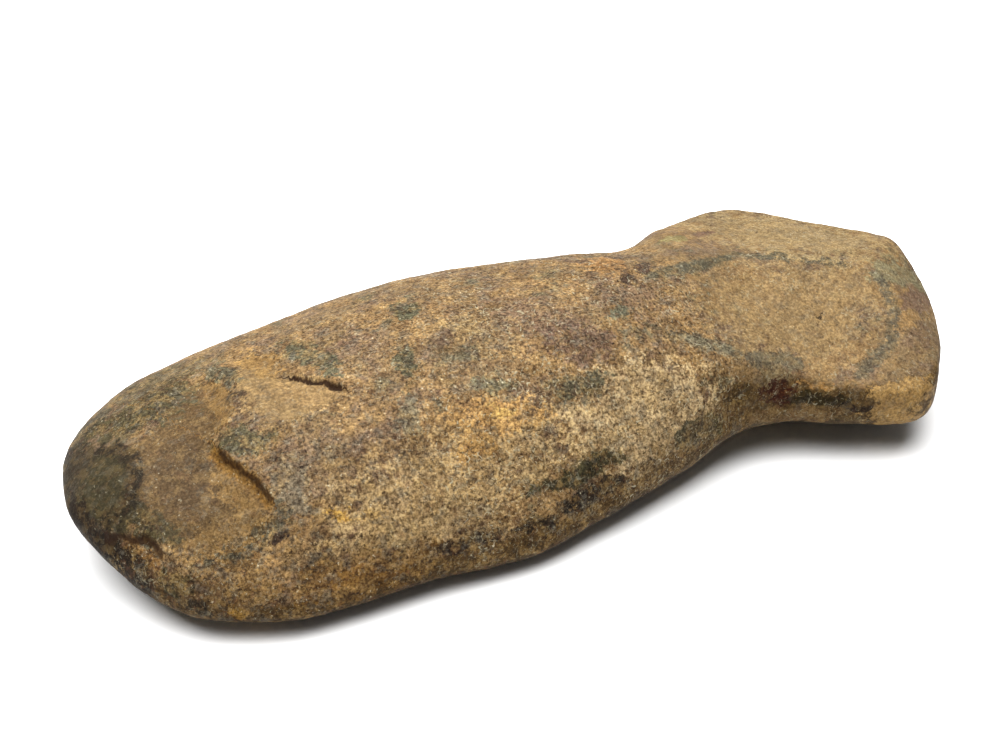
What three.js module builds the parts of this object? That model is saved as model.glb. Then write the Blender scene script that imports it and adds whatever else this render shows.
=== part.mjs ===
// A polished stone axe head that lies on its belly: X runs from the bit to the poll, +Y is the far
// side and Z is up. Its origin is on the ground, under the middle of its bounding box.
import * as THREE from 'three';
import { mergeVertices } from 'three/addons/utils/BufferGeometryUtils.js';

// Driving dimensions in millimetres
const length = 152;          // bit to poll
const width = 66;            // across the blade at its widest
const thickness = 29;        // belly to crown
const ridgeSoftness = 1.2;   // rounding where two ground facets of the poll meet
const flakeWall = 3;         // run of the wall at the rim of a flake scar
const broadFlakeDepth = 2.4; // at its hinge, as with the next two
const secondFlakeDepth = 1.7;
const cornerFlakeDepth = 1.4;
const nearHollowDepth = 1.8;
const waistPitDepth = 1.1;
const farNotchDepth = 1.6;
const swellHeight = 0.35;    // of the unevenness that grinding left

// The form at stations along the stone. "at" is a share of the length from the bit. near and far are
// the reach of each side from the long axis, as shares of the width. The heights are shares of the
// thickness: the crown, the widest line of the near and of the far side, and the belly.
const stations = [
  { at: 0, near: 0.25, far: 0.27, crown: 0.47, nearEdge: 0.38, farEdge: 0.44, belly: 0.3 },
  { at: 0.05, near: 0.395, far: 0.38, crown: 0.62, nearEdge: 0.21, farEdge: 0.28, belly: 0.1 },
  { at: 0.13, near: 0.415, far: 0.455, crown: 0.765, nearEdge: 0.16, farEdge: 0.26, belly: 0.02 },
  { at: 0.28, near: 0.41, far: 0.49, crown: 0.92, nearEdge: 0.15, farEdge: 0.335, belly: -0.01 },
  { at: 0.42, near: 0.43, far: 0.495, crown: 0.99, nearEdge: 0.15, farEdge: 0.38, belly: -0.02 },
  { at: 0.6, near: 0.36, far: 0.405, crown: 0.985, nearEdge: 0.26, farEdge: 0.41, belly: -0.01 },
  { at: 0.675, near: 0.32, far: 0.33, crown: 0.96, nearEdge: 0.32, farEdge: 0.47, belly: 0.07 },
  { at: 0.74, near: 0.34, far: 0.38, crown: 1, nearEdge: 0.31, farEdge: 0.58, belly: 0.12 },
  { at: 0.8, near: 0.41, far: 0.4, crown: 1.05, nearEdge: 0.33, farEdge: 0.62, belly: 0.08 },
  { at: 0.88, near: 0.45, far: 0.43, crown: 1.09, nearEdge: 0.31, farEdge: 0.6, belly: 0.03 },
  { at: 0.94, near: 0.33, far: 0.285, crown: 1.04, nearEdge: 0.34, farEdge: 0.56, belly: 0.11 },
  { at: 1, near: 0.22, far: 0.24, crown: 0.92, nearEdge: 0.44, farEdge: 0.56, belly: 0.36 },
];

// How each end rounds off in plan: the share of the length that it takes, and how square it is
const bitCorner = { near: { run: 0.19, square: 1.85 }, far: { run: 0.135, square: 2.9 } };
const pollCorner = { near: { run: 0.075, square: 2.2 }, far: { run: 0.1, square: 1.8 } };
const bitNose = { run: 0.02, square: 2 };
const pollNose = { run: 0.035, square: 2 };

// How square the sections are above the widest line at either end of the stone, and below it
const bladeSquare = { near: 1.6, far: 2.3 };
const pollSquare = { near: 2.2, far: 2.25 };
const bellySquare = 2.5;

// How far the long axis bends from the straight line at either end, as a share of the width
const bitBend = 0.035;
const pollBend = -0.04;
const bendRun = 0.3;         // share of the length that each bend takes

// The ground facets on the poll's upper side: each passes through a point, given as shares of the
// length, width and thickness from the middle of the ground, and rises by slopes along X and Y.
const pollFacets = [
  { name: 'near facet', at: [0.267, 0, 0.88], rise: [0.07, 0.44] },
  { name: 'far band', at: [0.267, 0, 0.893], rise: [-0.09, -0.11] },
  { name: 'end band', at: [0.405, -0.136, 0.845], rise: [-0.47, 0.54] },
];
const facetsFrom = 0.45;     // share of the length where the facets start to come down on the crown
const facetsFull = 0.8;      // and where they are down
const facetsLift = 0.35;     // how far above their place they start, as a share of the thickness

// Flakes struck from the bit face. An outline's points are shares of the length and of the width
// from the middle. The floor is deepest at the hinge end and runs out to nothing at the open end.
const flakes = [
  {
    name: 'broad flake behind the edge',
    depth: broadFlakeDepth,
    hinge: -0.325,
    open: -0.47,
    outline: [[-0.345, 0.21], [-0.315, 0.07], [-0.35, -0.06], [-0.35, -0.16], [-0.335, -0.28],
      [-0.352, -0.34], [-0.41, -0.3], [-0.44, -0.1], [-0.42, 0.08]],
  },
  {
    name: 'second flake, behind the first',
    depth: secondFlakeDepth,
    hinge: -0.225,
    open: -0.325,
    outline: [[-0.29, 0.22], [-0.265, 0.1], [-0.245, -0.01], [-0.225, -0.12], [-0.25, -0.14],
      [-0.285, -0.16], [-0.312, -0.04], [-0.306, 0.1]],
  },
  {
    name: 'small flake at the near corner',
    depth: cornerFlakeDepth,
    hinge: -0.43,
    open: -0.5,
    outline: [[-0.487, -0.06], [-0.445, -0.17], [-0.438, -0.26], [-0.455, -0.24], [-0.475, -0.15]],
  },
];

// Pecked hollows in the surface: a centre and a radius along each axis, as shares of the length,
// width and thickness, and a depth
const hollows = [
  {
    name: 'rough near edge',
    at: [-0.015, -0.47, 0.48],
    radii: [0.06, 0.07, 0.24],
    depth: nearHollowDepth,
  },
  {
    name: 'pits in the near waist',
    at: [0.24, -0.34, 0.5],
    radii: [0.09, 0.08, 0.18],
    depth: waistPitDepth,
  },
  {
    name: 'worn notch in the far waist',
    at: [0.2, 0.37, 0.66],
    radii: [0.06, 0.08, 0.3],
    depth: farNotchDepth,
  },
];

// Slow swells of the surface: a share of the swell height, and how many fit the length and width
const swells = [
  { share: 1, along: 5.3, across: 2.1, turn: 0.6 },
  { share: 0.7, along: 8.7, across: 3.4, turn: 2.2 },
  { share: 0.4, along: 13.1, across: 5.2, turn: 4.1 },
];

const facesAround = 56;
const ringsAlong = 84;
const ringEvenness = 0.5;    // 0 gathers the rings at the ends, 1 spaces them evenly
const crownGather = 0.28;    // gathers the faces on the upper side

const { clamp, lerp, smoothstep } = THREE.MathUtils;

// A smooth curve through one named value of the stations
function alongStations(key, share) {
  const last = stations.length - 1;
  let i = 0;
  while (i < last - 1 && share > stations[i + 1].at) i += 1;
  const slope = (k) => {
    const a = stations[Math.max(k - 1, 0)];
    const b = stations[Math.min(k + 1, last)];
    return (b[key] - a[key]) / (b.at - a.at);
  };
  const run = stations[i + 1].at - stations[i].at;
  const t = (share - stations[i].at) / run;
  const rise = stations[i + 1][key] - stations[i][key];
  const startBend = slope(i) * run - rise;
  const endBend = rise - slope(i + 1) * run;
  return stations[i][key] + rise * t + t * (1 - t) * lerp(startBend, endBend, t);
}

// 0 at an end and 1 from its run inwards, rounded like a superellipse
function rounding(fromEnd, end) {
  const rest = 1 - clamp(fromEnd / end.run, 0, 1);
  return (1 - rest ** end.square) ** (1 / end.square);
}

// The lower of two heights, with the ridge between them rounded
function softLower(a, b, softness) {
  const mix = clamp(0.5 + (b - a) / (2 * softness), 0, 1);
  return lerp(b, a, mix) - softness * mix * (1 - mix);
}

const superRoot = (value, square) => Math.sign(value) * Math.abs(value) ** (2 / square);

// A flake scar's outline as a closed curve, in millimetres
function flakeRim(flake) {
  const corners = flake.outline.map(([x, y]) => new THREE.Vector3(x * length, y * width, 0));
  return new THREE.CatmullRomCurve3(corners, true).getPoints(corners.length * 5);
}
const flakeRims = flakes.map(flakeRim);

// How far a point lies inside a rim, 0 outside it
function depthInside(x, y, rim) {
  let inside = false;
  let nearest = Infinity;
  for (let i = 0; i < rim.length - 1; i += 1) {
    const a = rim[i];
    const b = rim[i + 1];
    const dx = b.x - a.x;
    const dy = b.y - a.y;
    const crosses = (a.y > y) !== (b.y > y) && x < a.x + (dx * (y - a.y)) / dy;
    if (crosses) inside = !inside;
    const t = clamp(((x - a.x) * dx + (y - a.y) * dy) / Math.max(dx * dx + dy * dy, 1e-9), 0, 1);
    nearest = Math.min(nearest, Math.hypot(x - a.x - t * dx, y - a.y - t * dy));
  }
  return inside ? nearest : 0;
}

// How much the flakes took off the upper side at a place
function flakeDepth(x, y) {
  return flakes.reduce((taken, flake, i) => {
    const inside = depthInside(x, y, flakeRims[i]);
    if (inside === 0) return taken;
    const towardsHinge = clamp((x / length - flake.open) / (flake.hinge - flake.open), 0, 1);
    return taken + flake.depth * towardsHinge * smoothstep(inside, 0, flakeWall);
  }, 0);
}

// The stone's surface: "along" is 0 at the bit and 1 at the poll, "around" is 0 on the far side, a
// quarter turn on the crown and a half turn on the near side.
function surface(along, around, target) {
  const value = (key) => alongStations(key, along);
  const across = Math.cos(around);
  const upward = Math.sin(around);
  const side = across > 0 ? 'far' : 'near';
  const corners = rounding(along, bitCorner[side]) * rounding(1 - along, pollCorner[side]);
  const reach = value(side) * width * corners;
  const nose = rounding(along, bitNose) * rounding(1 - along, pollNose);
  const atBit = smoothstep(1 - along, 1 - bendRun, 1);
  const atPoll = smoothstep(along, 1 - bendRun, 1);
  const bend = (bitBend * atBit + pollBend * atPoll) * width;
  const x = (along - 0.5) * length;
  const toPoll = smoothstep(along, facetsFrom, facetsFull);
  const square = upward > 0 ? lerp(bladeSquare[side], pollSquare[side], toPoll) : bellySquare;
  const y = bend + reach * superRoot(across, square);

  const middle = (value('nearEdge') + value('farEdge')) / 2;
  const edge = (middle + ((value('farEdge') - value('nearEdge')) / 2) * across * nose) * thickness;
  const crown = value('crown') * thickness;
  const belly = value('belly') * thickness;
  let z = edge + Math.max(upward > 0 ? crown - edge : edge - belly, 0) * nose * superRoot(upward, square);

  const lift = facetsLift * thickness * (1 - toPoll);
  pollFacets.forEach((facet) => {
    const plane = facet.at[2] * thickness + facet.rise[0] * (x - facet.at[0] * length)
      + facet.rise[1] * (y - facet.at[1] * width);
    z = softLower(z, plane + lift, ridgeSoftness);
  });

  const onTop = smoothstep(upward, 0.1, 0.5);
  z -= flakeDepth(x, y) * onTop;
  swells.forEach((swell) => {
    const lengthwise = Math.sin((swell.along * Math.PI * x) / length + swell.turn);
    const crosswise = Math.cos((swell.across * Math.PI * y) / width + swell.turn);
    z += swellHeight * swell.share * lengthwise * crosswise * nose * upward;
  });
  target.set(x, y, z);

  hollows.forEach((hollow) => {
    const dx = (x / length - hollow.at[0]) / hollow.radii[0];
    const dy = (y / width - hollow.at[1]) / hollow.radii[1];
    const dz = (z / thickness - hollow.at[2]) / hollow.radii[2];
    const inward = hollow.depth * Math.exp(-(dx * dx + dy * dy + dz * dz));
    target.y -= Math.sign(target.y) * inward * Math.abs(across);
    target.z -= inward * Math.max(upward, 0);
  });
  target.z = Math.max(target.z, 0);   // the belly is flat where it rests
}

// A sphere with its poles on the long axis gives the mesh, and each vertex moves onto the stone
function makeAxeHead() {
  const sphere = new THREE.SphereGeometry(1, facesAround, ringsAlong);
  sphere.rotateZ(-Math.PI / 2);
  const points = sphere.attributes.position;
  const point = new THREE.Vector3();
  for (let i = 0; i < points.count; i += 1) {
    point.fromBufferAttribute(points, i);
    const turn = Math.acos(clamp(point.x, -1, 1));
    const along = 1 - lerp((1 - Math.cos(turn)) / 2, turn / Math.PI, ringEvenness);
    const around = Math.atan2(point.z, point.y);
    surface(along, around + crownGather * Math.cos(around), point);
    points.setXYZ(i, point.x, point.y, point.z);
  }
  sphere.deleteAttribute('normal');
  sphere.deleteAttribute('uv');
  const stone = mergeVertices(sphere, 1e-3);
  stone.computeBoundingBox();
  const middle = stone.boundingBox.getCenter(new THREE.Vector3());
  stone.translate(-middle.x, -middle.y, -stone.boundingBox.min.z);
  stone.computeVertexNormals();
  return stone;
}

const stoneMaterial = new THREE.MeshStandardMaterial({ color: 0xa18560, roughness: 0.75, metalness: 0 });
const axeHead = new THREE.Mesh(makeAxeHead(), stoneMaterial);
axeHead.name = 'axe_head';

const part = new THREE.Group();
part.add(axeHead);

export default part;
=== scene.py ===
import math

import bpy
import numpy as np
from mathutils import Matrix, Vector, noise


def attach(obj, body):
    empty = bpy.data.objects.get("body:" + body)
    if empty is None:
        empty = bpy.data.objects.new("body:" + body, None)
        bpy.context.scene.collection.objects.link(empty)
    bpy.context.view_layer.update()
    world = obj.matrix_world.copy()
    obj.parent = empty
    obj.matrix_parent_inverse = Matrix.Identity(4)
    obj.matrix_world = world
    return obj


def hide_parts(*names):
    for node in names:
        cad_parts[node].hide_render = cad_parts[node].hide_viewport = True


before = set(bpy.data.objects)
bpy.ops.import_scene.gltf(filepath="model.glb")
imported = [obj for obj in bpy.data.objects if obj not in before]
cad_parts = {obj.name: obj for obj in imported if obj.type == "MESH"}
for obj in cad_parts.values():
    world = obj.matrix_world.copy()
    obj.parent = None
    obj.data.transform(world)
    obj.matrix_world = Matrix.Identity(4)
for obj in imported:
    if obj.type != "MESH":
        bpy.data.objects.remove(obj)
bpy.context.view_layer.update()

# Places are in millimetres: X from the bit to the poll, +Y the far side, Z up
scene = bpy.context.scene
mm = 0.001


def selectOnly(piece):
    bpy.ops.object.select_all(action="DESELECT")
    piece.select_set(True)
    bpy.context.view_layer.objects.active = piece


def finishWith(piece, kind, **settings):
    selectOnly(piece)
    modifier = piece.modifiers.new(kind.title(), kind)
    for name, value in settings.items():
        setattr(modifier, name, value)
    bpy.ops.object.modifier_apply(modifier=modifier.name)


def readPoints(piece):
    points = np.zeros(len(piece.data.vertices) * 3)
    piece.data.vertices.foreach_get("co", points)
    return points.reshape(-1, 3) / mm


def writePoints(piece, points):
    piece.data.vertices.foreach_set("co", (points * mm).ravel())
    piece.data.update()


def upwardShare(piece):
    normals = np.zeros(len(piece.data.vertices) * 3)
    piece.data.vertices.foreach_get("normal", normals)
    return normals.reshape(-1, 3)[:, 2]


def storeValues(piece, name, values):
    attribute = piece.data.attributes.new(name, "FLOAT", "POINT")
    attribute.data.foreach_set("value", values.astype(np.float32))


def easeBetween(values, low, high):
    share = np.clip((values - low) / (high - low), 0, 1)
    return share * share * (3 - 2 * share)


# Moves points a little each way, so that a line traced past them looks broken by hand
def wander(points, size, amount, seed):
    # noise_vector takes its seed from the clock unless one is set
    noise.seed_set(seed)
    offset = Vector((seed * 7.3, seed * 3.1, seed * 5.7))
    shifts = [noise.noise_vector(Vector(point) / size + offset) for point in points]
    return points + np.array(shifts) * amount


# How far points lie from a line on plan, on which side (left is positive), and how far along it
def besideLine(points, line):
    corners = np.array(line, float)
    lengths = np.linalg.norm(np.diff(corners, axis=0), axis=1)
    nearest = np.full(len(points), 1e9)
    side = np.zeros(len(points))
    share = np.zeros(len(points))
    gone = 0
    for start, end, length in zip(corners[:-1], corners[1:], lengths):
        along = (end - start) / length
        offset = points[:, :2] - start
        reach = np.clip(offset @ along, 0, length)
        distance = np.linalg.norm(offset - reach[:, None] * along, axis=1)
        left = along[0] * offset[:, 1] - along[1] * offset[:, 0]
        closer = distance < nearest
        nearest[closer] = distance[closer]
        side[closer] = np.sign(left[closer])
        share[closer] = (gone + reach[closer]) / lengths.sum()
        gone += length
    return nearest, side, share


# How far points lie inside a closed outline on plan, negative outside it
def insideOutline(points, outline):
    nearest, side, share = besideLine(points, outline + outline[:1])
    corners = np.array(outline, float)
    crossings = np.zeros(len(points), int)
    for start, end in zip(corners, np.roll(corners, -1, axis=0)):
        spans = (start[1] > points[:, 1]) != (end[1] > points[:, 1])
        slope = (end[0] - start[0]) / (end[1] - start[1] or 1e-9)
        crossings += spans & (points[:, 0] < start[0] + slope * (points[:, 1] - start[1]))
    return np.where(crossings % 2 == 1, nearest, -nearest)


# The stone: a fine skin over the CAD solid, with the flake steps, pits and grain on it
stoneShape = {
    "spacing": 0.52,      # between the points of the fine skin
    "floorSkin": 5,       # flake outlines are stored this far in and out
    "crackRaise": 0.25,   # how far the high side of a step stands up at its rim
    # what roughens the skin: where, how big and how high, and the value that stays level
    "roughness": {
        "lumps": {"kind": "CLOUDS", "size": 10, "detail": 1, "level": 0.5, "height": 0.6,
                  "where": "weathered"},
        "slow unevenness": {"kind": "CLOUDS", "size": 4, "detail": 2, "level": 0.5, "height": 0.22,
                            "where": "weathered"},
        "pecked grain": {"kind": "CLOUDS", "size": 1.3, "detail": 1, "level": 0.5, "height": 0.14,
                         "where": "weathered"},
        "pits": {"kind": "VORONOI", "size": 2.6, "level": 0.6, "height": 0.5, "where": "pitted"},
    },
    # places ground smooth, which stay nearly free of roughness: centre, radii, how smooth
    "smoothPlaces": {
        "polished bit": ((-71, 2, 12), (6, 9, 9), 1),
        "poll facet": ((46, -8, 26), (16, 10, 6), 0.7),
    },
    # and places with pits
    "pittedPlaces": {
        "near hollow": ((-9, -31, 13), (9, 5, 6), 1),
        "waist": ((36, -22, 14), (16, 5, 6), 1),
    },
}

# Where a flake broke off in a step: the low side is on the right of the line. How deep it drops,
# how wide the wall is, how far the drop reaches and how deep the groove at its foot is
steps = {
    "broad flake": {
        "line": [(-55.6, -2), (-54.6, -4.2), (-53.6, -8), (-52, -11.2), (-50.7, -13.7), (-49.9, -15.6),
                 (-49.8, -17), (-50.5, -18), (-51.6, -18.6), (-53, -19.5)],
        "drop": 1.4, "wall": 1, "reach": 6, "groove": 0.15,
    },
    "second flake": {
        "line": [(-43.4, 4), (-42, 3), (-40, 1.4), (-38.5, -1.1), (-36.7, -2.9), (-35.2, -4.9),
                 (-34.2, -6.5), (-33, -8.6)],
        "drop": 0.5, "wall": 0.3, "reach": 5, "groove": 0.3,
    },
    "corner flake": {
        "line": [(-74.2, -3), (-73, -4.5), (-71.5, -7), (-69.5, -9), (-66.8, -11.3), (-66, -13.2),
                 (-65, -15.1), (-64, -18)],
        "drop": 0.45, "wall": 0.4, "reach": 3, "groove": 0.1,
    },
}

flakeOutlines = {
    "broad flake": [
        (-51.2, 10.9), (-48.9, 6.3), (-49, 2), (-50.1, -1.5), (-52.1, -3.4), (-54.6, -3.6), (-53.5, -8.4),
        (-51.9, -11.4), (-50, -15.3), (-49.8, -16.8), (-51.5, -18.4), (-54.2, -18.5), (-59.3, -17.8),
        (-62.3, -16.9), (-64.2, -14.9), (-66.9, -10.5), (-69, -5.2), (-67, -4.5), (-65.6, -2),
        (-64.6, 3.4), (-60.6, 4.7), (-57.5, 8.5), (-54.3, 12.4)],
    "second flake": [
        (-44.7, 12.9), (-41.1, 8.2), (-41.1, 3.9), (-42.2, 3.1), (-40, 1.6), (-36.7, -3), (-33.3, -8.2),
        (-35.8, -7.1), (-39.4, -7.1), (-42.4, -7.8), (-46.5, -7.9), (-48.4, -3.7), (-49.3, 1.3),
        (-47.5, 7.2)],
    "corner flake": [
        (-73.1, -4.8), (-69.6, -9.1), (-66.9, -11.4), (-66.4, -13.6), (-64.6, -17.6), (-66.9, -15.7),
        (-69.2, -12.6), (-71.3, -9)],
}

darkRidges = [
    [(17, -3), (22.1, -0.8), (27.7, 0.3), (33.2, 1), (37.7, 1.3), (41.5, 2.8), (45.8, 0.3),
     (50.6, -2.2), (54.2, -4), (57.1, -6), (61.5, -10.2)],
    [(-64, -16), (-62.3, -16.9), (-59.3, -17.8), (-56.5, -18.4), (-54.2, -18.5), (-50.8, -19.7),
     (-48.5, -20)],
]
# Height of the ridge between the upper side and the steep near flank, at places along X
nearRidge = [
    (-76, 13), (-70, 9.5), (-63, 6.5), (-43, 6.5), (-35, 7.5), (-3, 7.5), (5, 8.5), (13, 10), (24, 11.5),
    (30, 15), (39, 14), (76, 14),
]
paleRidges = [
    [(60, -9), (61.5, -10.2), (62.5, -13.1), (60.8, -17.6), (58.8, -20.5), (56.7, -22.5),
     (53.4, -24), (49.3, -24.9), (45, -26.3)],
    [(15, -12.5), (17.9, -13.1), (23.2, -14.2), (26.9, -16.1), (31.1, -18.4), (36.6, -19.1),
     (41, -21.5)],
]


def makeSkin(node):
    skin = bpy.data.objects.new("stone", node.data.copy())
    scene.collection.objects.link(skin)
    selectOnly(skin)
    bpy.ops.object.mode_set(mode="EDIT")
    bpy.ops.mesh.select_all(action="SELECT")
    bpy.ops.mesh.remove_doubles(threshold=0.01 * mm)
    bpy.ops.mesh.tris_convert_to_quads()
    bpy.ops.object.mode_set(mode="OBJECT")
    finishWith(skin, "SUBSURF", levels=2, render_levels=2)
    finishWith(skin, "REMESH", mode="VOXEL", voxel_size=stoneShape["spacing"] * mm)
    finishWith(skin, "SMOOTH", factor=0.5, iterations=3)
    return skin


def carveSteps(skin):
    points = readPoints(skin)
    onTop = easeBetween(upwardShare(skin), 0.1, 0.4)
    traced = wander(points, 1.6, 0.35, 3)
    for name, step in steps.items():
        distance, side, share = besideLine(traced, step["line"])
        ends = easeBetween(share, 0, 0.3) * easeBetween(1 - share, 0, 0.3) * onTop
        low = easeBetween(-side * distance, -0.1, step["wall"])
        fall = np.clip(1 - distance / step["reach"], 0, 1) ** 1.4
        points[:, 2] -= step["drop"] * low * fall * ends
        points[:, 2] -= step["groove"] * low * np.exp(-((distance - step["wall"]) / 0.5) ** 2) * ends
        points[:, 2] += stoneShape["crackRaise"] * (1 - low) * np.exp(-distance / 1.5) * ends
        faded = side * np.maximum(distance, 3 * (1 - ends))
        storeValues(skin, name.split()[0] + "Step", np.clip(faded, -3, 3))
    writePoints(skin, points)


def storePlaces(skin):
    points = readPoints(skin)
    onTop = upwardShare(skin) > 0.05
    limit = stoneShape["floorSkin"]
    for name, outline in flakeOutlines.items():
        inside = np.clip(insideOutline(points, outline), -limit, limit)
        storeValues(skin, name.split()[0] + "Floor", np.where(onTop, inside, -limit))
    for name, lines in {"darkRidge": darkRidges, "paleRidge": paleRidges}.items():
        nearest = np.full(len(points), float(limit))
        for line in lines:
            distance, side, share = besideLine(points, line)
            taper = 2.5 * (1 - easeBetween(share, 0, 0.12) * easeBetween(1 - share, 0, 0.12))
            nearest = np.minimum(nearest, distance + taper)
        storeValues(skin, name, np.where(onTop, nearest, limit))
    along, heights = zip(*nearRidge)
    below = np.interp(points[:, 0], along, heights) - points[:, 2]
    storeValues(skin, "nearFlank", np.where(points[:, 1] < 3, np.clip(below, -limit, limit), -limit))


def weightGroup(skin, name, weights):
    group = skin.vertex_groups.new(name=name)
    for i, weight in enumerate(weights):
        if weight > 0.01:
            group.add((i,), float(weight), "REPLACE")
    return name


# Soft spots round some places, full in the middle and fading outwards
def bulges(points, places):
    total = np.zeros(len(points))
    for centre, radii, share in places.values():
        offset = (points - np.array(centre)) / np.array(radii)
        total += share * np.exp(-(offset ** 2).sum(axis=1))
    return total


def roughen(skin):
    points = readPoints(skin)
    weathered = np.clip(1 - bulges(points, stoneShape["smoothPlaces"]), 0.15, 1)
    pitted = bulges(points, stoneShape["pittedPlaces"])
    places = {"weathered": weightGroup(skin, "weathered", weathered),
              "pitted": weightGroup(skin, "pitted", np.clip(pitted, 0, 1))}
    for name, rough in stoneShape["roughness"].items():
        texture = bpy.data.textures.new(name, rough["kind"])
        texture.noise_scale = rough["size"] * mm
        if rough["kind"] == "CLOUDS":
            texture.noise_depth = rough["detail"]
        finishWith(skin, "DISPLACE", texture=texture, texture_coords="LOCAL", mid_level=rough["level"],
                   strength=rough["height"] * mm, vertex_group=places[rough["where"]])
    points = readPoints(skin)
    points[:, 2] = np.maximum(points[:, 2], 0)   # it rests on the floor
    writePoints(skin, points)


stone = makeSkin(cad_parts["axe_head"])
carveSteps(stone)
storePlaces(stone)
roughen(stone)
selectOnly(stone)
bpy.ops.object.shade_smooth()
print("stone:", len(stone.data.vertices), "points,", len(stone.data.polygons), "faces")


# Material helpers
def addNode(tree, kind, inputs={}, **settings):
    node = tree.nodes.new(kind)
    for name, value in settings.items():
        setattr(node, name, value)
    for name, value in inputs.items():
        if isinstance(value, bpy.types.NodeSocket):
            tree.links.new(value, node.inputs[name])
        else:
            node.inputs[name].default_value = value
    return node


def calculate(tree, operation, *values):
    return addNode(tree, "ShaderNodeMath", dict(enumerate(values)), operation=operation).outputs[0]


def combine(tree, operation, *values):
    return addNode(tree, "ShaderNodeVectorMath", dict(enumerate(values)), operation=operation)


def ease(tree, value, low, high, start=0, end=1):
    limits = {"Value": value, "From Min": low, "From Max": high, "To Min": start, "To Max": end}
    return addNode(tree, "ShaderNodeMapRange", limits, interpolation_type="SMOOTHSTEP").outputs[0]


def layColour(tree, share, under, over, way="MIX"):
    colours = {0: share, 6: under, 7: over}
    return addNode(tree, "ShaderNodeMix", colours, data_type="RGBA", blend_type=way).outputs[2]


def grainOf(tree, place, size, detail=2, roughness=0.5):
    settings = {"Vector": place, "Scale": 1 / size, "Detail": detail, "Roughness": roughness}
    return addNode(tree, "ShaderNodeTexNoise", settings).outputs["Fac"]


def tone(red, green, blue, gain):
    def linear(value):
        share = value / 255
        return share / 12.92 if share < 0.04045 else ((share + 0.055) / 1.055) ** 2.4
    return (linear(red) * gain[0], linear(green) * gain[1], linear(blue) * gain[2], 1)


def newGroup(name, inputs, outputs):
    group = bpy.data.node_groups.new(name, "ShaderNodeTree")
    for label, kind in inputs.items():
        group.interface.new_socket(label, in_out="INPUT", socket_type=kind)
    for label, kind in outputs.items():
        group.interface.new_socket(label, in_out="OUTPUT", socket_type=kind)
    return group, group.nodes.new("NodeGroupInput").outputs, group.nodes.new("NodeGroupOutput").inputs


def placeGroup(tree, group, label, inputs):
    return addNode(tree, "ShaderNodeGroup", inputs, node_tree=group, label=label).outputs[0]


number, colour, vector = "NodeSocketFloat", "NodeSocketColor", "NodeSocketVector"


# A patch of another tone, which breaks up into specks at its rim
def makePatchGroup():
    group, given, result = newGroup(
        "patina patch",
        {"Colour": colour, "Tone": colour, "Place": vector, "Centre": vector, "Radii": vector,
         "Turn": number, "Ragged": number, "Strength": number, "Specks": number},
        {"Colour": colour})
    offset = combine(group, "SUBTRACT", given["Place"], given["Centre"]).outputs[0]
    turned = addNode(group, "ShaderNodeVectorRotate", {"Vector": offset, "Angle": given["Turn"]},
                     rotation_type="Z_AXIS").outputs[0]
    scaled = combine(group, "DIVIDE", turned, given["Radii"]).outputs[0]
    distance = combine(group, "LENGTH", scaled).outputs["Value"]
    specks = calculate(group, "MULTIPLY_ADD", given["Specks"], given["Ragged"], 1)
    mask = ease(group, calculate(group, "SUBTRACT", specks, distance), -0.15, 0.15)
    share = calculate(group, "MULTIPLY", mask, given["Strength"])
    group.links.new(layColour(group, share, given["Colour"], given["Tone"]), result["Colour"])
    return group


# Thin broken lines that run every way, as crystals and scratches do
def makeStrokeGroup():
    group, given, result = newGroup(
        "broken strokes",
        {"Place": vector, "Size": number, "Width": number, "Length": number, "Share": number},
        {"Mask": number})
    scale = calculate(group, "DIVIDE", 1, given["Size"])
    field = addNode(group, "ShaderNodeTexNoise", {"Vector": given["Place"], "Scale": scale, "Detail": 1})
    away = calculate(group, "ABSOLUTE", calculate(group, "SUBTRACT", field.outputs["Fac"], 0.5))
    line = ease(group, away, given["Width"], 0)
    elsewhere = combine(group, "ADD", given["Place"], (31, 17, 5)).outputs[0]
    finer = calculate(group, "DIVIDE", 1, given["Length"])
    broken = addNode(group, "ShaderNodeTexNoise", {"Vector": elsewhere, "Scale": finer, "Detail": 1})
    least = calculate(group, "SUBTRACT", 0.75, calculate(group, "MULTIPLY", given["Share"], 0.5))
    kept = ease(group, broken.outputs["Fac"], least, calculate(group, "ADD", least, 0.08))
    group.links.new(calculate(group, "MULTIPLY", line, kept), result["Mask"])
    return group


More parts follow.
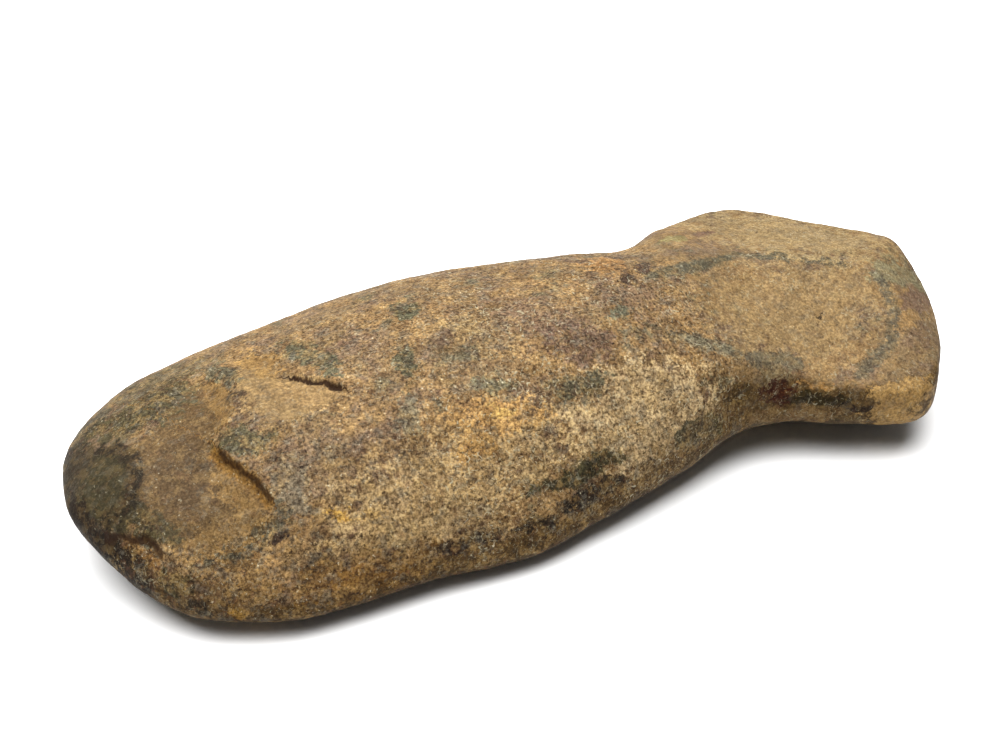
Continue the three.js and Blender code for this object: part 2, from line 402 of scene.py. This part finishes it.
# Tones of the stone as they look under the studio light, in ordinary 0 to 255 steps
stoneLooks = {
    "gain": (0.53, 0.58, 0.61),   # of red, green and blue, from the look back to the paint
    "ochre": (174, 138, 94),      # the tone under all the others
    # slow drifts of tone: tone, where each starts, size, detail, roughness, from and to, cover
    "drifts": {
        "brown": ((150, 122, 88), (0, 0, 0), 9, 4, 0.6, 0.42, 0.6, 1),
        "purple": ((138, 112, 90), (40, 10, 20), 7, 4, 0.65, 0.48, 0.62, 0.8),
        "grey green": ((124, 114, 88), (10, 70, 50), 6, 5, 0.7, 0.56, 0.66, 0.8),
    },
    "floors": {"broad": (124, 97, 64), "second": (168, 136, 94), "corner": (150, 112, 68)},
    # worn ridges: tone, where each fades out and is full, cover
    "ridges": {
        "darkRidge": ((104, 98, 80), 1.6, 0.4, 0.85),
        "paleRidge": ((112, 102, 84), 1.5, 0.5, 0.85),
    },
    "stepWall": (172, 126, 64),
    # painted shadow under the step's rim, with some dirt
    "stepFootShadowAndDirt": (62, 36, 16),
    "cracks": {"broad": (0.45, 0.8), "second": (0.42, 0.95), "corner": (0.4, 0.8)},   # width, cover
    "rimWander": (5, 6),          # size and reach of the bends in the patches' rims
    "rimSpecks": 1.6,             # size of the specks that the rims break up into
    "patchRagged": 0.5,           # how far a patch breaks up, unless it says so itself
    "patchStrength": 0.93,        # and how strongly it covers
    # the bit is polished smooth: middle, radii, share of the grain left on it
    "polished": ((-71, 2, 12), (8, 11, 12), 0.35),
    "floorGrain": 0.6,            # share of the grain left on the flake floors
    "pollGrain": (22, 32, 0.6),   # and on the poll, past these places along X
    "bitLines": (-42, -18, 0.4),  # and share of the thin lines left on the bit
    # size, detail, how wide it spreads, shade of its hollows and of its tops, height
    "grains": [
        (5, 3, 0.15, (0.84, 0.82, 0.8), (1.12, 1.11, 1.1), 1.2),
        (1.6, 5, 0.2, (0.66, 0.62, 0.6), (1.3, 1.31, 1.3), 0.9),
        (0.45, 4, 0.18, (0.38, 0.35, 0.33), (1.6, 1.6, 1.6), 0.5),
    ],
    # specks of other tones over everything: size, share of the surface, how strongly they cover
    "specks": {
        "ochre dust": {"size": 2.4, "share": 0.45, "cover": 0.4, "tone": (186, 150, 98)},
        "grey specks": {"size": 1.8, "share": 0.36, "cover": 0.45, "tone": (126, 118, 104)},
        "red brown specks": {"size": 1.4, "share": 0.3, "cover": 0.45, "tone": (116, 80, 58)},
        "dark pits": {"size": 0.8, "share": 0.24, "cover": 0.8, "tone": (60, 42, 30)},
        "pale chips": {"size": 0.6, "share": 0.13, "cover": 0.9, "tone": (228, 212, 180)},
    },
    # size of their curves, width, length, share, cover and height of the thin lines
    "strokes": {
        "dark lines": {"size": 3, "width": 0.022, "length": 0.9, "share": 0.5, "cover": 0.6,
                       "tone": (78, 58, 42), "height": -0.5},
        "other dark lines": {"size": 2.4, "width": 0.022, "length": 0.7, "share": 0.4, "cover": 0.5,
                             "tone": (88, 70, 54), "height": -0.4},
        "pale lines": {"size": 3.4, "width": 0.014, "length": 0.8, "share": 0.42, "cover": 0.75,
                       "tone": (232, 216, 182), "height": 0.4},
        "small pale lines": {"size": 2.4, "width": 0.02, "length": 0.55, "share": 0.46, "cover": 0.7,
                             "tone": (222, 202, 164), "height": 0.3},
        "fine pale lines": {"size": 1.8, "width": 0.026, "length": 0.4, "share": 0.5, "cover": 0.6,
                            "tone": (212, 190, 150), "height": 0.3},
    },
    # painted shade on the steep sides and underneath, darker the less they face up: tone, how far they face
    # up where it starts and is full
    "flankShade": ((104, 78, 42), 0.46, 0.12),
    "undersideShade": ((92, 74, 50), 0.1, -0.4),
    "roughness": (0.6, 0.8),      # on top of the grain and in its hollows
    "shine": 0.12,
    "grainHeight": 0.3,
    "grainBump": 0.6,
}

# Patches of another tone: where they lie, how far they reach, how far they are turned in degrees,
# how much their rims break up and how strongly they cover. These two lie under the worn ridges
# Both are painted light: a lighter tone where the shoulder and near face turn away from the lamp
underPatches = {
    "painted light on the shoulder": {
        "tone": (222, 190, 144), "at": (8, -21.5), "radii": (14, 5.5), "turn": 5, "strength": 0.7},
    "painted light on the near face": {
        "tone": (212, 178, 128), "at": (-25, -22), "radii": (20, 5.5), "turn": -5, "strength": 0.6},
}

# And these lie over the ridges and the painted shade on the flanks and underside. With a height, a patch
# keeps to it
patches = {
    "dark top of the bit": {"tone": (84, 74, 52), "at": (-69.5, 15), "radii": (6.5, 3), "turn": -50},
    "green band behind the disc": {"tone": (94, 84, 58), "at": (-61.5, 10), "radii": (8, 5), "turn": 5},
    "lighter band above it": {"tone": (112, 96, 66), "at": (-58, 18), "radii": (8.5, 6)},
    "green band below the disc": {"tone": (84, 74, 50), "at": (-67.5, -9), "radii": (7, 1.2), "turn": 45},
    "brown middle of the flake": {
        "tone": (112, 88, 62), "at": (-60, -6.5), "radii": (7, 5), "turn": 55, "strength": 0.7},
    "ochre at the step": {"tone": (154, 119, 74), "at": (-54, -12.5), "radii": (5, 2), "turn": 75},
    "ochre floor below": {"tone": (156, 122, 78), "at": (-58, -16.5), "radii": (5.5, 1.5), "turn": 15},
    "ochre spur above": {"tone": (156, 121, 76), "at": (-51.5, 2), "radii": (7.5, 1.5), "turn": -85},
    "dark nicks between the flakes": {
        "tone": (86, 70, 54), "at": (-48.5, 1.5), "radii": (2, 1.2), "turn": 50},
    "grey lobe": {"tone": (92, 84, 60), "at": (-51, -7), "radii": (4, 2), "turn": 30},
    "brown behind the lobe": {"tone": (118, 96, 74), "at": (-47, -6), "radii": (2, 1.5), "turn": 55},
    "ochre above the crack": {"tone": (168, 130, 80), "at": (-43, 8), "radii": (5.5, 2.5), "turn": 80},
    "bright floor under the crack": {
        "tone": (180, 144, 98), "at": (-40.5, -3.5), "radii": (6.5, 2.5), "turn": 40},
    "green above the crack": {"tone": (104, 98, 76), "at": (-36.5, 4), "radii": (7.5, 2), "turn": 75},
    "grey green at the top": {"tone": (112, 104, 82), "at": (-49, 10), "radii": (5, 1.2), "turn": 70},
    "grey beside the step": {"tone": (146, 128, 104), "at": (-47, -16), "radii": (4.5, 2.5), "turn": -85},
    "grey foot of the step": {"tone": (104, 94, 76), "at": (-49.5, -18.5), "radii": (2, 1), "turn": 45},
    "yellow blob": {"tone": (208, 162, 86), "at": (-42, -21), "radii": (2, 0.8), "turn": 25},
    "yellow specks beside it": {
        "tone": (196, 156, 96), "at": (-37.5, -22), "radii": (2, 0.6), "turn": 10, "strength": 0.6},
    "dark spot": {"tone": (76, 58, 48), "at": (-51, -20.5), "radii": (1.5, 0.6), "turn": 25},
    "dark spot below": {
        "tone": (80, 60, 44), "at": (-47, -24.5), "radii": (2.5, 0.8), "turn": 5, "strength": 0.7},
    "dark spot at the near edge": {"tone": (70, 52, 42), "at": (-38, -27, 7.5), "radii": (2, 6, 0.8)},
    "ochre near facet": {
        "tone": (160, 122, 76), "at": (-56, -21.5), "radii": (4.5, 2.5), "turn": 20, "strength": 0.6},
    "ochre near edge": {"tone": (172, 132, 80), "at": (-42.5, -26.5, 8), "radii": (3.5, 6, 1.2)},
    "green near corner": {"tone": (84, 74, 50), "at": (-65, -17, 8.5), "radii": (3, 6, 2)},
    "dark near corner": {"tone": (70, 58, 44), "at": (-64, -19.5, 6), "radii": (2.5, 6, 1.2)},
    "yellow flake on the near edge": {
        "tone": (176, 134, 66), "at": (-59, -23, 5.5), "radii": (1.5, 6, 0.6)},
    "green at the crown": {"tone": (96, 92, 70), "at": (-19.5, 7), "radii": (3.5, 2), "turn": -75},
    "green below it": {"tone": (104, 98, 74), "at": (-25, -5.5), "radii": (3.5, 1.5), "turn": -80},
    "purple zone": {
        "tone": (134, 106, 84), "at": (-2, -4), "radii": (9, 4.5), "turn": 50, "strength": 0.75},
    "purple by the waist": {"tone": (136, 110, 88), "at": (16, -5), "radii": (6, 4.5), "strength": 0.8},
    "purple zone right": {
        "tone": (132, 104, 86), "at": (2, -11), "radii": (6, 3.5), "turn": 20, "strength": 0.8},
    # painted highlight: a lighter yellow spot where the crown catches the light
    "painted yellow highlight on the crown": {
        "tone": (190, 160, 112), "at": (-13.5, -2.5), "radii": (3, 2.5), "turn": 50, "strength": 0.5},
    "orange patch": {"tone": (204, 158, 100), "at": (-15.5, -17), "radii": (7, 2.5), "turn": 10},
    "yellow core": {"tone": (214, 172, 104), "at": (-14.5, -17), "radii": (2.5, 0.8), "turn": 10},
    "orange patch below": {"tone": (190, 148, 92), "at": (-20, -20.5), "radii": (3, 1.5), "turn": 20},
    "grey over the orange": {"tone": (128, 118, 92), "at": (-13.5, -13.5), "radii": (3, 1.5), "turn": 15},
    "green grey middle": {"tone": (102, 96, 76), "at": (-1.5, -17), "radii": (4.5, 1.5), "turn": 5},
    "small green grey": {"tone": (124, 120, 98), "at": (11.5, -8), "radii": (2, 1.2), "turn": -5},
    "grey blue left": {
        "tone": (128, 120, 98), "at": (-27.5, -13.5), "radii": (3, 2), "turn": -70, "strength": 0.7},
    "dark hollow": {"tone": (72, 66, 44), "at": (-5, -25.5, 12.5), "radii": (8.5, 6, 1.5), "ragged": 0.35},
    "black in the hollow": {"tone": (40, 30, 24), "at": (-4, -27, 9), "radii": (6, 6, 1.5), "ragged": 0.35},
    "black nicks left of it": {"tone": (44, 34, 26), "at": (-14, -28, 8), "radii": (4, 6, 0.8)},
    "dark line at the near edge": {"tone": (56, 40, 30), "at": (-26, -27.5, 8), "radii": (6, 6, 0.8)},
    "dark grey at the shoulder": {"tone": (88, 80, 60), "at": (15, -24.5, 12), "radii": (3, 6, 1.5)},
    "green by the shoulder": {"tone": (98, 92, 60), "at": (20.5, -23, 11), "radii": (3, 6, 2)},
    "brown nick at the waist": {"tone": (84, 62, 52), "at": (22, 1.5), "radii": (2.5, 1.5), "turn": -50},
    "brown nick beside it": {"tone": (92, 72, 58), "at": (16.5, -1.5), "radii": (1.5, 1.2), "turn": -10},
    "orange by the nicks": {"tone": (182, 138, 90), "at": (16.5, 5), "radii": (4, 3.5), "turn": -70},
    "grey pale streak": {
        "tone": (150, 140, 114), "at": (24, -15.5), "radii": (4.5, 1.2), "turn": 15, "strength": 0.6},
    "green at the waist": {"tone": (108, 98, 78), "at": (29.5, 0), "radii": (8, 1.5), "turn": -10},
    "poll facet": {
        "tone": (178, 146, 102), "at": (44.5, -11.5), "radii": (16, 9), "turn": 5, "strength": 0.65},
    "far band": {
        "tone": (178, 150, 108), "at": (56.5, 8), "radii": (19.5, 10), "turn": 45, "strength": 0.75},
    "purple on the far band": {"tone": (132, 100, 82), "at": (42.5, 14), "radii": (2.5, 1.2), "turn": -35},
    "green on the far band": {"tone": (162, 144, 98), "at": (34, 11.5), "radii": (3, 1.5), "turn": -15},
    "pale green on the end": {"tone": (150, 136, 104), "at": (68, -10.5), "radii": (6.5, 2.5), "turn": 5},
    "purple on the end": {"tone": (142, 112, 90), "at": (68, -15.5), "radii": (5, 2), "turn": -25},
    "purple below it": {"tone": (142, 114, 88), "at": (62.5, -23), "radii": (3.5, 1.5), "turn": -20},
    "ochre on the end": {"tone": (180, 142, 96), "at": (62.5, -20), "radii": (3.5, 1.5), "turn": -10},
    "brown corner": {
        "tone": (200, 158, 100), "at": (53, -30.5), "radii": (6.5, 2), "turn": 5, "strength": 0.7},
    "grey below the facet": {"tone": (132, 116, 90), "at": (36, -19), "radii": (5, 1.2), "turn": 15},
    "pale grey at the rim": {"tone": (160, 138, 104), "at": (34, -20.5), "radii": (3.5, 0.6), "turn": 15},
    "black dot": {"tone": (50, 36, 30), "at": (47.5, -14), "radii": (0.8, 0.6), "turn": -50},
    "red pits": {"tone": (70, 26, 10), "at": (34.5, -22, 13), "radii": (3.5, 6, 2)},
    "ochre sliver": {"tone": (186, 140, 84), "at": (40, -24.5, 14), "radii": (2.5, 6, 0.4)},
    # dark dirt on the wall under the poll, partly painted shade under the overhang
    "olive wall, dirt and painted shade": {"tone": (54, 42, 16), "at": (40.5, -26, 11.5), "radii": (5, 6, 1.5)},
    "black brown wall, dirt and painted shade": {"tone": (40, 26, 18), "at": (45.5, -28.5, 10.5), "radii": (2.5, 6, 0.8)},
    "olive waist": {"tone": (84, 62, 28), "at": (27, -20.5, 14), "radii": (3.5, 6, 2)},
    "green grey foot of the waist": {"tone": (112, 95, 68), "at": (19, -23.5, 11), "radii": (4, 6, 2)},
    "brown strip at the foot": {"tone": (138, 108, 72), "at": (36, -24, 9), "radii": (8.5, 6, 1.2)},
    "dark bit edge": {"tone": (38, 28, 22), "at": (-79, 1, 10), "radii": (8, 30, 30), "ragged": 0.15},
    "dark near bit": {"tone": (40, 29, 18), "at": (-71, -9.5, 8), "radii": (4.5, 7, 4.5), "ragged": 0.2},
    "dark ring of the disc": {
        "tone": (50, 40, 28), "at": (-69, 0), "radii": (8, 4.5), "turn": 80, "ragged": 0.2},
    "polished disc": {"tone": (78, 68, 46), "at": (-70.5, 1), "radii": (6, 3), "turn": 80, "ragged": 0.2},
    "dark far bit": {"tone": (72, 60, 44), "at": (-73.5, 7, 14), "radii": (4, 5, 5), "ragged": 0.3},
    "brown near corner": {
        "tone": (112, 84, 46), "at": (-58, -20.5, 9), "radii": (6, 4, 4), "strength": 0.6},
    "brown near edge": {"tone": (128, 90, 42), "at": (-41, -26, 8), "radii": (10, 6, 3), "strength": 0.6},
}


def makeStoneMaterial():
    material = bpy.data.materials.new("weathered stone")
    material.use_nodes = True
    tree = material.node_tree
    surface = tree.nodes["Principled BSDF"]
    looks = stoneLooks
    surface.inputs["Specular IOR Level"].default_value = looks["shine"]
    gain = looks["gain"]
    coordinates = addNode(tree, "ShaderNodeTexCoord")
    place = addNode(tree, "ShaderNodeMapping", {"Vector": coordinates.outputs["Object"],
                                                 "Scale": (1000, 1000, 1000)}).outputs[0]
    facing = addNode(tree, "ShaderNodeSeparateXYZ", {0: coordinates.outputs["Normal"]}).outputs

    # The patches' rims wander broadly, and break up into specks
    bend, reach = looks["rimWander"]
    warp = addNode(tree, "ShaderNodeTexNoise", {"Vector": place, "Scale": 1 / bend, "Detail": 4,
                                                 "Roughness": 0.6})
    centred = combine(tree, "SUBTRACT", warp.outputs["Color"], (0.5, 0.5, 0.5)).outputs[0]
    wandered = combine(tree, "MULTIPLY_ADD", centred, (reach,) * 3, place).outputs[0]
    rim = ease(tree, grainOf(tree, place, looks["rimSpecks"], 4, 0.75), 0.25, 0.75, -1, 1)

    # Slow drifts of tone over the whole stone
    colourNow = tone(*looks["ochre"], gain)
    for paint, start, size, detail, roughness, low, high, cover in looks["drifts"].values():
        drift = grainOf(tree, combine(tree, "ADD", place, start).outputs[0], size, detail, roughness)
        colourNow = layColour(tree, ease(tree, drift, low, high, 0, cover), colourNow, tone(*paint, gain))

    def stored(name):
        return addNode(tree, "ShaderNodeAttribute", attribute_name=name).outputs["Fac"]

    fringe = calculate(tree, "MULTIPLY", rim, 0.8)
    for name, paint in looks["floors"].items():
        mask = ease(tree, calculate(tree, "ADD", stored(name + "Floor"), fringe), -0.3, 0.5)
        colourNow = layColour(tree, mask, colourNow, tone(*paint, gain))

    group = makePatchGroup()

    def layPatch(name, patch, under):
        centre = tuple(patch["at"]) + (0,) * (3 - len(patch["at"]))
        radii = tuple(patch["radii"]) + (500,) * (3 - len(patch["radii"]))
        settings = {
            "Colour": under, "Tone": tone(*patch["tone"], gain), "Place": wandered, "Specks": rim,
            "Centre": centre, "Radii": radii, "Turn": math.radians(patch.get("turn", 0)),
            "Ragged": patch.get("ragged", looks["patchRagged"]),
            "Strength": patch.get("strength", looks["patchStrength"])}
        return placeGroup(tree, group, name, settings)

    for name, patch in underPatches.items():
        colourNow = layPatch(name, patch, colourNow)

    for name, (paint, out, full, cover) in looks["ridges"].items():
        ridge = ease(tree, calculate(tree, "ADD", stored(name), fringe), out, full, 0, cover)
        colourNow = layColour(tree, ridge, colourNow, tone(*paint, gain))

    # Painted shade on the steep sides, below the near ridge and underneath
    paint, out, full = looks["flankShade"]
    # painted shade: darker where the side faces less upward or lies below the near ridge
    flankShade = ease(tree, calculate(tree, "MULTIPLY_ADD", rim, 0.12, facing[2]), out, full, 0, 0.9)
    below = ease(tree, calculate(tree, "MULTIPLY_ADD", fringe, 0.8, stored("nearFlank")), -0.4, 0.5, 0, 0.92)
    flankShade = calculate(tree, "MAXIMUM", flankShade, below)
    colourNow = layColour(tree, flankShade, colourNow, tone(*paint, gain))
    # painted shade on the faces turned down
    paint, out, full = looks["undersideShade"]
    colourNow = layColour(tree, ease(tree, facing[2], out, full), colourNow, tone(*paint, gain))
    for name, patch in patches.items():
        colourNow = layPatch(name, patch, colourNow)

    # The wall of the broad flake's step
    inward = calculate(tree, "ADD", stored("broadStep"), calculate(tree, "MULTIPLY", fringe, 0.3))
    onWall = calculate(tree, "MULTIPLY", ease(tree, inward, 0.2, -0.3), ease(tree, inward, -1.8, -1, 0, 0.8))
    colourNow = layColour(tree, onWall, colourNow, tone(*looks["stepWall"], gain))

    # Specks of other tones, and grain of several sizes, darker and redder in its hollows
    middle, radii, least = looks["polished"]
    fromBit = combine(tree, "DIVIDE", combine(tree, "SUBTRACT", place, middle).outputs[0], radii).outputs[0]
    grainy = ease(tree, combine(tree, "LENGTH", fromBit).outputs["Value"], 0.7, 1.2, least, 1)
    for name in ("broadFloor", "secondFloor"):
        calm = ease(tree, stored(name), 0, 1.5, 1, looks["floorGrain"])
        grainy = calculate(tree, "MULTIPLY", grainy, calm)
    along = addNode(tree, "ShaderNodeSeparateXYZ", {0: place}).outputs[0]
    start, end, least = looks["pollGrain"]
    grainy = calculate(tree, "MULTIPLY", grainy, ease(tree, along, start, end, 1, least))
    relief = None
    for name, speck in looks["specks"].items():
        shifted = combine(tree, "ADD", place, speck["tone"]).outputs[0]
        least = 0.66 - 0.4 * speck["share"]
        grain = grainOf(tree, shifted, speck["size"], 4, 0.75)
        seen = ease(tree, grain, least, least + 0.1, 0, speck["cover"])
        seen = calculate(tree, "MULTIPLY", seen, grainy)
        colourNow = layColour(tree, seen, colourNow, tone(*speck["tone"], gain))
    for size, detail, spread, dark, light, height in looks["grains"]:
        grain = grainOf(tree, place, size, detail, 0.7)
        shade = addNode(tree, "ShaderNodeMix", {
            0: ease(tree, grain, 0.5 - spread, 0.5 + spread), 6: dark + (1,), 7: light + (1,)},
            data_type="RGBA").outputs[2]
        colourNow = layColour(tree, grainy, colourNow, shade, "MULTIPLY")
        raised = calculate(tree, "MULTIPLY", grain, height)
        relief = calculate(tree, "ADD", relief, raised) if relief else raised

    # Thin lines that run every way, thicker in some places than in others
    strokes = makeStrokeGroup()
    thick = ease(tree, grainOf(tree, place, 14, 3, 0.6), 0.4, 0.6, 0.35, 1)
    start, end, least = looks["bitLines"]
    onBody = ease(tree, along, start, end, least, 1)
    uneven = calculate(tree, "MULTIPLY", calculate(tree, "MULTIPLY", thick, grainy), onBody)
    for name, stroke in looks["strokes"].items():
        shifted = combine(tree, "ADD", place, stroke["tone"]).outputs[0]
        seen = placeGroup(tree, strokes, name, {
            "Place": shifted, "Size": stroke["size"], "Width": stroke["width"], "Length": stroke["length"],
            "Share": stroke["share"]})
        shown = calculate(tree, "MULTIPLY", calculate(tree, "MULTIPLY", seen, stroke["cover"]), uneven)
        colourNow = layColour(tree, shown, colourNow, tone(*stroke["tone"], gain))
        relief = calculate(tree, "MULTIPLY_ADD", shown, stroke["height"], relief)

    # Painted shadow at the foot of each step, where the overhanging rim would shade the crack, with some
    # dirt in it
    for name, (width, cover) in looks["cracks"].items():
        gap = calculate(tree, "ADD", stored(name + "Step"), calculate(tree, "MULTIPLY", fringe, 0.12))
        away = calculate(tree, "ABSOLUTE", calculate(tree, "ADD", gap, 0.3))
        foot = ease(tree, away, width, width * 0.2, 0, cover)
        colourNow = layColour(tree, foot, colourNow, tone(*looks["stepFootShadowAndDirt"], gain))
    tree.links.new(colourNow, surface.inputs["Base Color"])

    smooth, rough = looks["roughness"]
    tree.links.new(ease(tree, relief, 0.6, 1.4, rough, smooth), surface.inputs["Roughness"])
    bump = addNode(tree, "ShaderNodeBump", {
        "Strength": looks["grainBump"], "Distance": looks["grainHeight"] * mm, "Height": relief})
    tree.links.new(bump.outputs[0], surface.inputs["Normal"])
    return material


stone.data.materials.clear()
stone.data.materials.append(makeStoneMaterial())
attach(stone, "root")
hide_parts("axe_head")
print("material: weathered stone")

# Studio, in metres
studio = {
    "floorSize": 4,
    "floorTone": 0.93,
    "keyPlace": (-0.05, 0.13, 0.7),
    "keySize": 1,
    "keyPower": 16,
    "skyTone": 0.13,
}


def makeStudio():
    bpy.ops.mesh.primitive_plane_add(size=studio["floorSize"])
    floor = bpy.context.object
    floor.name = "floor"
    paper = bpy.data.materials.new("pale floor")
    paper.use_nodes = True
    shader = paper.node_tree.nodes["Principled BSDF"]
    shader.inputs["Base Color"].default_value = (studio["floorTone"],) * 3 + (1,)
    shader.inputs["Roughness"].default_value = 0.9
    floor.data.materials.append(paper)
    bpy.ops.object.light_add(type="AREA", location=studio["keyPlace"])
    key = bpy.context.object
    key.data.size = studio["keySize"]
    key.data.energy = studio["keyPower"]
    key.rotation_euler = (-key.location).to_track_quat("-Z", "Y").to_euler()
    world = bpy.data.worlds.new("studio")
    scene.world = world
    world.use_nodes = True
    sky = world.node_tree.nodes["Background"]
    sky.inputs["Color"].default_value = (1, 1, 1, 1)
    sky.inputs["Strength"].default_value = studio["skyTone"]
    scene.view_settings.view_transform = "Standard"
    scene.view_settings.look = "Medium High Contrast"


# The view of the photo, angles in degrees
view = {
    "place": (-82.93, -153.39, 128.06),
    "down": 33.34,
    "turn": -26.85,
    "lens": 44.643,
}


def makeCamera():
    tilt = (math.radians(90 - view["down"]), 0, math.radians(view["turn"]))
    bpy.ops.object.camera_add(location=Vector(view["place"]) * mm, rotation=tilt)
    camera = bpy.context.object
    camera.data.lens = view["lens"]
    camera.data.sensor_width = 36
    camera.data.clip_start = 0.01
    scene.camera = camera


makeStudio()
makeCamera()
print("studio: floor, light and camera")
